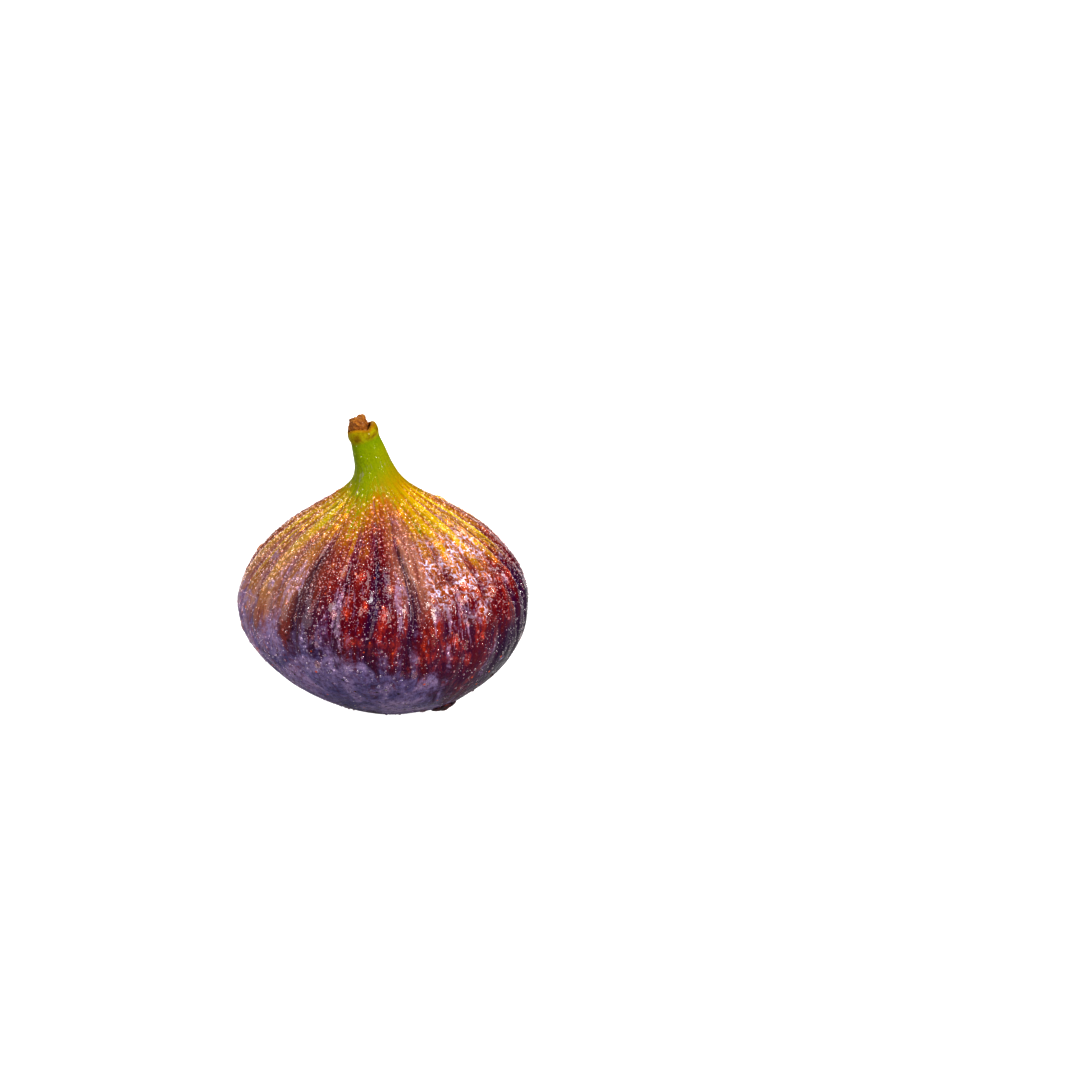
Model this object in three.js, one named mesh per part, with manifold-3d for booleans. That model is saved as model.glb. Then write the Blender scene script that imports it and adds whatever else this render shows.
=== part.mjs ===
// A ripe purple fig, whole, as picked. It stands on the small flat that its own weight presses into its base.
// Millimetres, +Z up. The origin is the middle of that flat. -Y is the side that shows in the photograph.
import * as THREE from 'three';
import { ParametricGeometry } from 'three/addons/geometries/ParametricGeometry.js';
import { mergeVertices } from 'three/addons/utils/BufferGeometryUtils.js';
import Module from 'manifold-3d';

const { smoothstep, lerp, degToRad } = THREE.MathUtils;
const fullTurn = 2 * Math.PI;

// Driving dimensions: the fruit's body.
const bodyRadius = 28.7; // at the widest ring
const lowerDepth = 22.9; // from the widest ring to where a round base would end
const lowerTaper = 1.26; // 1 makes the lower half a true ellipse, and more makes it come to a blunt cone
const flatRadius = 7; // the flat that the fig stands on
const baseDrift = 1.8; // the fig stands on a spot to the right of its widest ring's middle
const flatEdge = Math.asin((flatRadius / bodyRadius) ** (1 / lowerTaper));
const equatorHeight = lowerDepth * Math.cos(flatEdge);

// The shoulder and neck, as [radius, height].
const shoulder = [
  [28.2, 25.0],
  [26.3, 29.2],
  [23.0, 33.2],
  [19.1, 36.8],
  [14.1, 40.2],
  [9.2, 43.2],
  [5.5, 46.2],
  [3.8, 49.3],
  [3.15, 53.0],
];

// The collar is the ring of three short scales that held the fig on its stalk.
const collarBase = 54.9;
const collarTop = 57.1;
const collarRadius = 3.05;
const socketRadius = 2.25;
const socketFloor = 55.9;
const socketShift = -0.3; // the stalk stands to the left of the collar's middle
const scaleRise = 0.85; // how far a collar scale stands over the gaps between scales
const collarScales = [0.35, 2.35, 4.3]; // where the middles of the three scales are, in radians

// The neck leans to the left, and its rings tilt with it further up.
const leanSlope = 0.3;
const leanStart = 44.4;
const leanEase = 2.5; // over how much height the lean sets in
const tiltStart = 49.5;
const tiltEase = 1.2;

// Ribs run from the neck down the shoulder and fade out on the lower half.
const ribCount = 26;
const stepsPerRib = 4;
const ribHeight = 0.5; // a crest over the plain surface
const grooveDepth = 0.55; // the narrow groove between two ribs
const grooveShare = 0.13; // half width of a groove, as a share of its rib
const ribUneven = 0.4; // how uneven the ribs' spacing is, as a share of it
const ribWander = 0.05; // how far the ribs stray sideways, in radians
const ribTwist = 0.1; // how far all the ribs turn on their way down, in radians
const ringsPerStretch = 2; // rings between two profile points

// The eye is the pore at the far end from the stalk, closed by small scales. It peeps out low on the right.
const eyeAngle = degToRad(-43);
const eyeReach = 14.6; // from the fig's axis
const eyeSwell = 0.6; // the skin rises this much round the eye
const eyeSpread = 3.6;
const eyeRings = [
  { count: 6, radius: 1.6, length: 2.3, width: 2.3, thickness: 0.6, lift: -0.05, tilt: 0.3 },
  { count: 4, radius: 0.6, length: 1.6, width: 1.6, thickness: 0.6, lift: 0.2, tilt: 0.45 },
];

// The stump of the torn stalk, as [share of its radius, share of its height] going up.
const stalkRadius = 1.9;
const stalkFoot = socketFloor + 0.3;
const stalkTop = 59.4;
const stalkSides = 20;
const stalkRings = [
  [0, 0],
  [0.92, 0],
  [0.97, 0.25],
  [1, 0.5],
  [0.98, 0.72],
  [0.84, 0.92],
  [0.5, 1],
  [0, 0.93],
];

const skin = new THREE.MeshStandardMaterial({ name: 'skin', color: '#6d2238', roughness: 0.35, metalness: 0 });
const bark = new THREE.MeshStandardMaterial({ name: 'bark', color: '#a8661f', roughness: 0.85, metalness: 0 });

// A number from 0 to 1 that is always the same for one index and one seed.
function chance(index, seed) {
  const wave = Math.sin(index * 12.9898 + seed * 78.233) * 43758.5453;
  return wave - Math.floor(wave);
}

function profileCurve() {
  const points = [new THREE.Vector2(0, 0), new THREE.Vector2(flatRadius * 0.55, 0)];
  const lowerSteps = 6;
  for (let step = 0; step <= lowerSteps; step++) {
    const angle = lerp(flatEdge, Math.PI / 2, step / lowerSteps);
    const radius = bodyRadius * Math.sin(angle) ** lowerTaper;
    points.push(new THREE.Vector2(radius, equatorHeight - lowerDepth * Math.cos(angle)));
  }
  for (const [radius, height] of shoulder) points.push(new THREE.Vector2(radius, height));
  points.push(
    new THREE.Vector2(collarRadius * 0.95, collarBase),
    new THREE.Vector2(collarRadius * 1.02, (collarBase + collarTop) / 2),
    new THREE.Vector2(collarRadius * 0.93, collarTop),
    new THREE.Vector2(socketRadius, collarTop),
    new THREE.Vector2(socketRadius, socketFloor),
    new THREE.Vector2(0, socketFloor),
  );
  return new THREE.SplineCurve(points);
}

// The point of the fig's axis at a height, and the direction of its ring's own x there.
function axisAt(height) {
  const drift = baseDrift * smoothstep(height, 0, equatorHeight);
  const lean = leanSlope * leanEase * Math.log(1 + Math.exp((height - leanStart) / leanEase));
  const tilt = Math.atan(leanSlope) / (1 + Math.exp((tiltStart - height) / tiltEase));
  return {
    point: new THREE.Vector3(-drift - lean, 0, height),
    side: new THREE.Vector3(Math.cos(tilt), 0, Math.sin(tilt)),
  };
}

function ribIndex(rib) {
  return ((rib % ribCount) + ribCount) % ribCount;
}

// Where groove number rib lies round the fig, at a height.
function grooveAngle(rib, height) {
  const even = (rib / ribCount) * fullTurn;
  const uneven = (ribUneven * (chance(ribIndex(rib), 1) - 0.5) * fullTurn) / ribCount;
  const wander = Math.sin(height * 0.14 + 2 * even) + 0.3 * Math.sin(height * 0.3 + 5 * even);
  return even + uneven + ribWander * wander + ribTwist * (1 - height / collarTop);
}

// How strong the ribs are at a height.
function ribStrength(height) {
  return smoothstep(height, 5, 30) * (1 - 0.86 * smoothstep(height, 38, 47)) * (1 - smoothstep(height, 52, 55));
}

// How far the skin stands out at a share (0 to 1) of the way across a rib of a width in radians.
function ribRelief(rib, share, width, height) {
  const fullness = (width * ribCount) / fullTurn;
  const crest = ribHeight * fullness * (0.6 + 0.8 * chance(ribIndex(rib), 3)) * Math.sin(Math.PI * share) ** 0.8;
  const edge = Math.min(share, 1 - share) / grooveShare;
  const nearest = ribIndex(share < 0.5 ? rib : rib + 1);
  const groove = grooveDepth * (0.35 + 1.1 * chance(nearest, 4)) * Math.exp(-edge * edge);
  return ribStrength(height) * (crest - groove);
}

// Slow swells that keep the body from being a turned shape.
function lobes(angle, height) {
  const body = 1 - smoothstep(height, 38, 46);
  const low = 0.008 * Math.sin(3 * angle + 0.9) + 0.006 * Math.sin(5 * angle + 2.1 + height * 0.05);
  const neck = 0.045 * Math.sin(3 * angle + 1.4) + 0.025 * Math.sin(5 * angle);
  return 1 + body * low + (1 - body) * neck;
}

function collarRise(angle) {
  let rise = 0;
  for (const middle of collarScales) rise = Math.max(rise, Math.cos(angle - middle) ** 3);
  return scaleRise * rise - scaleRise / 2;
}

// The skin of the fig. across goes once round it, along goes up the profile, both from 0 to 1.
const profile = profileCurve();
const stretches = profile.points.length - 1;
const socketStart = (stretches - 2.5) / stretches;
const around = ribCount * stepsPerRib;

function skinPoint(across, along, target) {
  const ring = profile.getPoint(along);
  const place = (across % 1) * ribCount;
  const rib = Math.floor(place + 1e-9);
  const share = Math.max(place - rib, 0);
  const start = grooveAngle(rib, ring.y);
  const end = grooveAngle(rib + 1, ring.y);
  const angle = lerp(start, end, share);

  let radius = ring.x * lobes(angle, ring.y);
  if (ring.x > 1) radius += ribRelief(rib, share, end - start, ring.y) * Math.min(1, ring.x / 6);
  const inSocket = along > socketStart;
  const onCollar = smoothstep(ring.y, inSocket ? socketFloor : collarBase, collarTop);
  const { point, side } = axisAt(ring.y + onCollar * collarRise(angle));
  target.copy(point).addScaledVector(side, radius * Math.cos(angle) + (inSocket ? socketShift : 0));
  target.y += radius * Math.sin(angle);

  const eye = eyePlace();
  const fromEye = Math.hypot(target.x - eye.x, target.y - eye.y);
  if (target.z < equatorHeight) target.z -= eyeSwell * Math.exp(-((fromEye / eyeSpread) ** 2));
  target.z = Math.max(target.z, 0);
}

// A closed geometry as a manifold-3d solid, with only its positions and with shared vertices merged.
const wasm = await Module();
wasm.setup();

function toSolid(geometry) {
  const bare = new THREE.BufferGeometry().setAttribute('position', geometry.getAttribute('position'));
  bare.setIndex(geometry.index);
  const merged = mergeVertices(bare, 1e-4);
  return new wasm.Manifold(
    new wasm.Mesh({
      numProp: 3,
      vertProperties: merged.attributes.position.array,
      triVerts: new Uint32Array(merged.index.array),
    }),
  );
}

function toGeometry(solid) {
  const { vertProperties, triVerts } = solid.getMesh();
  const geometry = new THREE.BufferGeometry();
  geometry.setAttribute('position', new THREE.BufferAttribute(vertProperties, 3));
  geometry.setIndex(new THREE.BufferAttribute(triVerts, 1));
  geometry.computeVertexNormals();
  return geometry;
}

// Where the eye sits on the lower half of the profile.
const eyeSlant = Math.asin((eyeReach / bodyRadius) ** (1 / lowerTaper));
const eyeHeight = equatorHeight - lowerDepth * Math.cos(eyeSlant);

function eyePlace() {
  const { point } = axisAt(eyeHeight);
  point.x += eyeReach * Math.cos(eyeAngle);
  point.y += eyeReach * Math.sin(eyeAngle);
  return point;
}

// The frame of the eye: its place on the skin, and its outward direction as +Z.
function eyeFrame() {
  const place = eyePlace();
  place.z -= eyeSwell;
  const widening = bodyRadius * lowerTaper * Math.sin(eyeSlant) ** (lowerTaper - 1) * Math.cos(eyeSlant);
  const rising = lowerDepth * Math.sin(eyeSlant);
  const outward = new THREE.Vector3(rising * Math.cos(eyeAngle), rising * Math.sin(eyeAngle), -widening).normalize();
  const turn = new THREE.Quaternion().setFromUnitVectors(new THREE.Vector3(0, 0, 1), outward);
  return new THREE.Matrix4().compose(place, turn, new THREE.Vector3(1, 1, 1));
}

// The scales of the eye overlap and lean in over the pore.
function addEye(solid) {
  const frame = eyeFrame();
  eyeRings.forEach((ring, layer) => {
    for (let number = 0; number < ring.count; number++) {
      const turned = number + 0.5 * layer + 0.3 * (chance(number, 5 + layer) - 0.5);
      const scale = new THREE.SphereGeometry(0.5, 8, 6);
      scale.scale(ring.length, ring.width, ring.thickness);
      scale.rotateY(ring.tilt);
      scale.translate(ring.radius, 0, ring.lift);
      scale.rotateZ((turned / ring.count) * fullTurn);
      scale.applyMatrix4(frame);
      solid = solid.add(toSolid(scale));
    }
  });
  return solid;
}

function makeFruit() {
  const surface = new ParametricGeometry(skinPoint, around, stretches * ringsPerStretch);
  const fruit = new THREE.Mesh(toGeometry(addEye(toSolid(surface))), skin);
  fruit.name = 'fruit';
  return fruit;
}

// The torn stalk: a rough plug, crumbled round on top where its fibres broke.
function makeStalk() {
  const last = stalkRings.length - 1;
  const stalkPoint = (across, along, target) => {
    const step = Math.round(along * last);
    const side = Math.round(across * stalkSides) % stalkSides;
    const [share, level] = stalkRings[step];
    const angle = (side / stalkSides) * fullTurn;
    const rough = share > 0 ? chance(side + 31 * step, 7) - 0.5 : 0;
    const radius = stalkRadius * share * (1 + 0.12 * rough);
    const tear = level ** 2 * share * (0.5 * Math.sin(angle + 2.4) + 0.35 * Math.sin(3 * angle) + 0.5 * rough);
    const { point, side: sideways } = axisAt(lerp(stalkFoot, stalkTop, level) + tear);
    target.copy(point).addScaledVector(sideways, radius * Math.cos(angle) + socketShift);
    target.y += radius * Math.sin(angle);
  };
  const surface = new ParametricGeometry(stalkPoint, stalkSides, last);
  const stalk = new THREE.Mesh(toGeometry(toSolid(surface)), bark);
  stalk.name = 'stalk';
  return stalk;
}

const fig = new THREE.Group();
fig.name = 'fig';
fig.add(makeFruit(), makeStalk());

export default fig;
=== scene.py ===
# A ripe purple fig, wet from rinsing, on a pale studio floor. Blender 4.5.
import math
import bmesh
import bpy
import numpy as np
from mathutils import Matrix, Vector


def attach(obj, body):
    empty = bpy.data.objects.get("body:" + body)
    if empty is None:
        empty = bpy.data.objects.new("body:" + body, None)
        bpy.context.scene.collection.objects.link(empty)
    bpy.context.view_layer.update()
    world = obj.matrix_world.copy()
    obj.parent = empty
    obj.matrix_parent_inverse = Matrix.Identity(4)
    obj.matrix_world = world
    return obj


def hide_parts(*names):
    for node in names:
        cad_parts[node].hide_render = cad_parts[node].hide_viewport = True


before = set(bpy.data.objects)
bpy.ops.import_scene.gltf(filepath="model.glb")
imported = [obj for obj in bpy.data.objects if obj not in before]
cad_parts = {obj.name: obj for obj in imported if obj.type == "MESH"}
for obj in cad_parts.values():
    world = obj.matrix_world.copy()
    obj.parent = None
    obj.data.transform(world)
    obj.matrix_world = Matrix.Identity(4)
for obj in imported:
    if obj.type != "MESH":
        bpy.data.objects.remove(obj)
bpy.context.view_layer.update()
scene = bpy.context.scene
mm = 0.001  # the sizes below are millimetres, and Blender's are metres
fullTurn = 2 * math.pi
dropShare = 1
print("frame loaded,", len(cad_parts), "nodes")


# Small helpers

def perMetre(millimetres):  # how many of a pattern this wide fit in a metre, for a texture's scale
    return 1 / (millimetres * mm)


def smoothstep(value, low, high):
    share = np.clip((value - low) / (high - low), 0, 1)
    return share * share * (3 - 2 * share)


def waves(rows, angle, level):  # each row is how many round a ring, where they start, their twist and height
    return sum(high * np.sin(many * angle + start + twist * level) for many, start, twist, high in rows)


def chance(index, seed):  # a number from 0 to 1 that is always the same for one index and one seed
    wave = np.sin(index * 12.9898 + seed * 78.233) * 43758.5453
    return wave - np.floor(wave)


def hexToLinear(text):  # an sRGB hex colour as Blender's linear colour
    values = [int(text[place:place + 2], 16) / 255 for place in (1, 3, 5)]
    return [v / 12.92 if v <= 0.04045 else ((v + 0.055) / 1.055) ** 2.4 for v in values] + [1.0]


def alongSpline(points, place):  # a Catmull-Rom curve through the points; place counts stretches
    last = len(points) - 1
    cell = np.minimum(np.floor(place).astype(int), last)
    share = (place - cell)[:, None]
    before, here = points[np.maximum(cell - 1, 0)], points[cell]
    there, after = points[np.minimum(cell + 1, last)], points[np.minimum(cell + 2, last)]
    leave, arrive = (there - before) / 2, (after - here) / 2
    cubic = 2 * here - 2 * there + leave + arrive
    square = -3 * here + 3 * there - 2 * leave - arrive
    return ((cubic * share + square) * share + leave) * share + here


def gridMesh(name, positions):  # rows of points round the axis; the first and the last row are single points
    rows, columns = positions.shape[:2]
    points = [positions[0, 0]] + list(positions[1:-1].reshape(-1, 3)) + [positions[-1, 0]]
    start = np.arange(columns)
    after = (start + 1) % columns
    faces = [[0, 1 + b, 1 + a] for a, b in zip(start, after)]
    for row in range(rows - 3):
        low, high = 1 + row * columns, 1 + (row + 1) * columns
        faces += [[low + a, low + b, high + b, high + a] for a, b in zip(start, after)]
    top, last = len(points) - 1, 1 + (rows - 3) * columns
    faces += [[last + a, last + b, top] for a, b in zip(start, after)]
    mesh = bpy.data.meshes.new(name)
    mesh.from_pydata([tuple(p) for p in points], [], [[int(i) for i in f] for f in faces])
    mesh.shade_smooth()
    return mesh


def addAttribute(mesh, name, grid, kind="FLOAT"):  # grid holds a value, or three, for each row and column
    flat = np.concatenate([grid[0, :1], grid[1:-1].reshape((-1,) + grid.shape[2:]), grid[-1, :1]])
    values = mesh.attributes.new(name, kind, "POINT").data
    values.foreach_set("value" if kind == "FLOAT" else "vector", flat.ravel())


def newObject(name, data):
    shape = bpy.data.objects.new(name, data)
    scene.collection.objects.link(shape)
    return shape


# One small function adds a node with its settings, its input values or links, and its colour stops.
# A node among the inputs stands for its first output.
def add(tree, kind, inputs=None, stops=None, **settings):
    node = tree.nodes.new(kind)
    for name, value in settings.items():
        setattr(node, name, value)
    for name, value in (inputs or {}).items():
        if isinstance(value, bpy.types.Node):
            value = value.outputs[0]
        if isinstance(value, bpy.types.NodeSocket):
            tree.links.new(value, node.inputs[name])
        else:
            node.inputs[name].default_value = value
    if stops:
        elements = node.color_ramp.elements
        while len(elements) < len(stops):
            elements.new(0.5)
        for element, (place, value) in zip(elements, stops):
            element.position = place
            element.color = hexToLinear(value)
    return node


def newMaterial(name):  # an empty material, its node tree and the coordinates of the piece
    material = bpy.data.materials.new(name)
    material.use_nodes = True
    tree = material.node_tree
    tree.nodes.clear()
    return material, tree, add(tree, "ShaderNodeTexCoord").outputs["Object"]


def newTree(name, inputs):  # a Geometry Nodes tree with one geometry in and out and named inputs
    tree = bpy.data.node_groups.new(name, "GeometryNodeTree")
    tree.interface.new_socket("Geometry", in_out="INPUT", socket_type="NodeSocketGeometry")
    tree.interface.new_socket("Geometry", in_out="OUTPUT", socket_type="NodeSocketGeometry")
    for label, (kind, value) in inputs.items():
        tree.interface.new_socket(label, in_out="INPUT", socket_type=kind).default_value = value
    return tree, tree.nodes.new("NodeGroupInput").outputs


def closeTree(tree, geometry, material):
    real = add(tree, "GeometryNodeRealizeInstances", {"Geometry": geometry})
    painted = add(tree, "GeometryNodeSetMaterial", {"Geometry": real, "Material": material})
    add(tree, "NodeGroupOutput", {"Geometry": painted})


def runTree(shape, tree, sizes):  # the result as a plain mesh
    modifier = shape.modifiers.new(tree.name, "NODES")
    modifier.node_group = tree
    for item in tree.interface.items_tree:
        if item.in_out == "INPUT" and item.name in sizes:
            modifier[item.identifier] = sizes[item.name]
    graph = bpy.context.evaluated_depsgraph_get()
    evaluated = shape.evaluated_get(graph)
    mesh = bpy.data.meshes.new_from_object(evaluated, preserve_all_data_layers=True, depsgraph=graph)
    shape.modifiers.remove(modifier)
    return mesh


def finishPiece(shape, mesh, node=None):
    shape.data = mesh
    shape.data.name = shape.name
    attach(shape, "root")
    if node:
        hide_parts(node)
    print("made", shape.name, "with", len(mesh.polygons), "faces")


# The fruit's form: the same rule as the CAD model's, in finer steps

fruit = {
    "radius": 28.7,  # at the widest ring
    "lowerDepth": 22.9,  # from the widest ring to where a round base would end
    "lowerTaper": 1.26,  # more than 1 makes the lower half come to a blunt cone
    "flatRadius": 7.0,  # the flat that the fig stands on
    "baseDrift": 1.8,  # the flat lies to the right of the widest ring's middle
    "shoulder": [  # radius and height
        (28.2, 25.0), (26.3, 29.2), (23.0, 33.2), (19.1, 36.8), (14.1, 40.2),
        (9.2, 43.2), (5.5, 46.2), (3.8, 49.3), (3.15, 53.0),
    ],
    "leanSlope": 0.3, "leanStart": 44.4, "leanEase": 2.5,  # the neck leans to the left
    "tiltStart": 49.5, "tiltEase": 1.2,  # and its rings turn with it
    "bodyLobes": [(3, 0.9, 0, 0.008), (5, 2.1, 0.05, 0.006)],  # waves, as a share of the radius
    "neckLobes": [(3, 1.4, 0, 0.045), (5, 0, 0, 0.025)],
    "skinStep": 0.5,  # mesh rows on the body
    "collarStep": 0.2,  # and on the collar
}
collar = {
    "base": 54.9, "top": 57.1, "radius": 3.05, "socketRadius": 2.25, "socketFloor": 55.9,
    "bulge": (0.95, 1.02, 0.93),  # its radius at the base, the middle and the top
    "socketShift": -0.3,  # the stalk stands to the left of the collar's middle
    "scaleRise": 0.85,  # how far a collar scale stands over the gaps between scales
    "scales": [0.35, 2.35, 4.3],  # where their middles are, in radians
}
ribs = {
    "count": 26, "steps": 16,  # mesh columns on each rib
    "height": 0.5, "grooveDepth": 0.55, "grooveShare": 0.13,
    "uneven": 0.4, "wander": 0.05, "twist": 0.1,  # of the grooves between them
    "waves": [(2, 0, 0.14, 1), (5, 0, 0.3, 0.3)],  # in which they wander
    "full": 6, "none": 1,  # radius of the base's rings where ribs and grooves are full, and where gone
    "neckLoss": 0.7,  # how much of what is then left is gone higher on the neck
    "dent": 0.4, "lump": 0.7,  # how deep the small dents and the wide lumps of the skin are
    "dentWidth": 3.8, "fibreWidth": 0.9, "lumpWidth": 9.0,  # and how wide those and the fibres are
    "neckShare": 0.86,  # how much of a rib is gone on the neck
    "crestSpread": (0.6, 0.8), "grooveSpread": (0.35, 1.1),  # the least, and what chance adds
    "streakRing": 28.0, "streakDraw": 0.16,  # streaks lie along the ribs, about six times as long as wide
}
eye = {
    "angle": math.radians(-43), "reach": 14.6, "swell": 0.6, "spread": 3.6,
    "rings": [
        {"Count": 6, "Ring radius": 1.6, "Length": 2.3, "Width": 2.3, "Thickness": 0.6,
         "Lift": -0.05, "Tilt": 0.3},
        {"Count": 4, "Ring radius": 0.6, "Length": 1.6, "Width": 1.6, "Thickness": 0.6,
         "Lift": 0.2, "Tilt": 0.45},
    ],
    "colours": [(0.35, "#1E0B18"), (0.55, "#4A1420"), (0.7, "#7E3420")],
}

# How ripe the skin is, from 0 for lime to 1 for black purple: by height, and more or less so on each rib.
# Rib 0 starts on the right and they go round by the back. Ribs 13 to 25 face the camera, from left to right.
ripeness = {
    "byHeight": [(0, 1.0), (8, 0.97), (14, 0.9), (18, 0.82), (22, 0.75), (28, 0.66), (33, 0.57),
                 (37, 0.46), (40, 0.36), (43, 0.28), (46, 0.12), (50, 0.03), (60, 0.0)],
    "shoulder": [0.6, 0.5, 0.7, 0.4, 0.6, 0.8, 0.5, 0.3, 0.6, 0.7, 0.4, 0.6, 0.45,
                 0.35, 0.35, 0.3, 0.45, 0.55, 0.65, 0.9, 0.9, 0.55, 0.35, 0.4, 0.35, 0.45],
    "waist": [0.8, 0.6, 0.7, 0.5, 0.7, 0.8, 0.6, 0.45, 0.6, 0.75, 0.6, 0.5, 0.4,
              0.3, 0.3, 0.36, 0.5, 0.7, 0.75, 0.8, 0.7, 0.75, 0.5, 0.5, 0.65, 0.95],
    "gold": [0, 0.3, 0, 0.6, 0, 0, 0.3, 0.8, 0, 0, 0.5, 0, 0.1,
             0.4, 0.6, 0.5, 0.2, 0, 0, 0, 0, 0.2, 0.4, 0.8, 1.5, 1.1],  # ribs that stay yellow at the top
    "grooves": [0.5, 0.7, 0.4, 0.8, 0.6, 0.9, 0.5, 0.7, 0.8, 0.4, 0.7, 0.6, 0.5,
                0.4, 0.5, 0.6, 0.8, 1.0, 1.1, 1.3, 1.3, 0.8, 0.8, 0.6, 0.8, 0.9],  # how dark each is
    "toneShift": 0.42,  # how much riper a rib of 1 is than one of 0
    # How much riper the patches, the yellow side of the neck and the grooves are than the skin round them.
    # The riper patches low on the right side are painted shadow.
    "patchShifts": {"tan": -0.1, "lime": -0.1, "riperAndShaded": 0.24}, "yellowSide": 0.09, "grooveShift": 0.12,
    "yellowFacing": -0.35,  # the way that side faces, in radians
    "grooveWidth": 0.18,  # as a share of the rib
    "goldFoot": 27, "goldTilt": 4, "goldEase": 8,  # the gold reaches lower on the left
}
# Heights between which something on the skin comes in or fades out.
bands = {
    "ribsGrow": (5, 30), "ribsFade": (38, 47), "skinEnds": (52, 55),
    "neckRounds": (38, 46), "neckSmooths": (43, 48), "neckYellows": (42, 47),
    "shoulderTones": (24, 34), "tonesFade": (39, 46),
    "groovesDarken": (8, 16), "groovesClear": (33, 41), "strokesFade": (40, 45),
    "dewComes": (10, 18), "dewThickens": (20, 33), "dripsCome": (30, 38), "dripsFade": (42, 46),
}
# How thickly the drops stand: everywhere, by height, and on the patches.
wetness = {
    "least": 0.05, "waist": 0.25, "shoulder": 0.7, "drips": 0.08, "embers": 0.25,
    "dryNeck": 0.97, "dryFoot": 1,  # nearly none on the neck, and none under this height
}
# Patches of the skin: the middle's angle and height, then half the width and half the height of each, in
# degrees and millimetres. -90 faces the camera, -180 is the left and 0 the right.
patches = {
    "net": [(-61, 34, 8, 6), (-42, 34, 10, 6), (-25, 35, 8, 4), (-48, 29, 10, 5),
            (60, 32, 14, 5), (78, 27, 8, 4), (165, 28, 12, 4)],  # water film in beads, the pale colour of its threads a painted highlight
    "veil": [(-104, 28, 10, 8), (-80, 31, 6, 6), (-58, 26, 14, 7), (30, 24, 30, 8),
             (-132, 30, 9, 7)],  # painted highlight of a thin torn water film
    "ember": [(-88, 24, 10, 8), (-106, 26, 8, 6), (-71, 20, 11, 8), (-50, 19, 11, 8), (-24, 29, 9, 6),
              (35, 24, 25, 8), (120, 25, 22, 7)],  # red that glows through
    "tan": [(-145, 33, 22, 9), (-165, 27, 14, 9), (-72, 35, 9, 7),
            (95, 33, 20, 7)],  # where a leaf kept the sun off
    "lime": [(-118, 43, 24, 4), (60, 43, 30, 4)],  # unripe a little further down
    "riperAndShaded": [(-6, 19, 14, 10), (-122, 31, 7, 8), (-112, 23, 7, 8), (-30, 15, 16, 6),
              (75, 18, 20, 9)],  # riper than the rest, but the two low on the right side are painted shadow
    "deep": [(-4, 16, 14, 10), (-24, 12, 14, 7)],  # painted shadow, nearly black, low on the right side
    "bloom": [(-172, 15, 24, 11), (-134, 13, 22, 10), (-102, 10, 22, 8), (-80, 8, 14, 7), (-56, 0, 22, 6),
              (150, 12, 45, 11), (80, 9, 40, 9)],  # wax left after rinsing, with a painted reflection of the pale floor on it
}

flatEdge = math.asin((fruit["flatRadius"] / fruit["radius"]) ** (1 / fruit["lowerTaper"]))
equatorHeight = fruit["lowerDepth"] * math.cos(flatEdge)


def profilePoints():  # from the middle of the flat out, up the side, over the collar and down into its socket
    points = [(0, 0), (fruit["flatRadius"] * 0.55, 0)]
    steps = 6  # from the flat's edge to the widest ring
    for step in range(steps + 1):
        angle = flatEdge + (math.pi / 2 - flatEdge) * step / steps
        points.append((fruit["radius"] * math.sin(angle) ** fruit["lowerTaper"],
                       equatorHeight - fruit["lowerDepth"] * math.cos(angle)))
    points += fruit["shoulder"]
    radius, base, top = collar["radius"], collar["base"], collar["top"]
    atBase, atMiddle, atTop = collar["bulge"]
    points += [(radius * atBase, base), (radius * atMiddle, (base + top) / 2), (radius * atTop, top),
               (collar["socketRadius"], top), (collar["socketRadius"], collar["socketFloor"]),
               (0, collar["socketFloor"])]
    return np.array(points, float)


def past(band, height):  # from 0 under a band of heights to 1 over it
    return smoothstep(height, *bands[band])


def axisAt(height):  # how far to the side the middle of a ring lies, and how far the ring is tilted
    drift = fruit["baseDrift"] * smoothstep(height, 0, equatorHeight)
    upNeck = (height - fruit["leanStart"]) / fruit["leanEase"]
    lean = fruit["leanSlope"] * fruit["leanEase"] * np.log1p(np.exp(upNeck))
    turned = 1 / (1 + np.exp((fruit["tiltStart"] - height) / fruit["tiltEase"]))
    return -drift - lean, math.atan(fruit["leanSlope"]) * turned


def grooveAngle(rib, height):  # spaced unevenly, and wandering in two slow waves on the way up
    index = rib % ribs["count"]
    even = rib / ribs["count"] * fullTurn
    uneven = ribs["uneven"] * (chance(index, 1) - 0.5) * fullTurn / ribs["count"]
    wander = ribs["wander"] * waves(ribs["waves"], even, height)
    return even + uneven + wander + ribs["twist"] * (1 - height / collar["top"])


def ribStrength(height):  # none at the base, full on the shoulder and faint on the neck
    fades = (1 - ribs["neckShare"] * past("ribsFade", height)) * (1 - past("skinEnds", height))
    return past("ribsGrow", height) * fades


def lobes(angle, height):  # three and five shallow lobes round the body, deeper ones round the neck
    onBody = 1 - past("neckRounds", height)
    low, high = [waves(fruit[part], angle, height) for part in ("bodyLobes", "neckLobes")]
    return 1 + onBody * low + (1 - onBody) * high


def collarRise(angle):  # each worn scale of the collar stands up in a narrow wave
    rise = np.maximum.reduce([np.cos(angle - middle) ** 3 for middle in collar["scales"]] + [0 * angle])
    return collar["scaleRise"] * (rise - 0.5)


def eyePlace():  # where the eye sits on the lower half, and which way it faces
    taper = fruit["lowerTaper"]
    slant = math.asin((eye["reach"] / fruit["radius"]) ** (1 / taper))
    height = equatorHeight - fruit["lowerDepth"] * math.cos(slant)
    lean, _ = axisAt(height)
    across, deep = math.cos(eye["angle"]), math.sin(eye["angle"])
    place = Vector((lean + eye["reach"] * across, eye["reach"] * deep, height))
    widening = fruit["radius"] * taper * math.sin(slant) ** (taper - 1) * math.cos(slant)
    rising = fruit["lowerDepth"] * math.sin(slant)
    return place, Vector((rising * across, rising * deep, -widening)).normalized()


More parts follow.
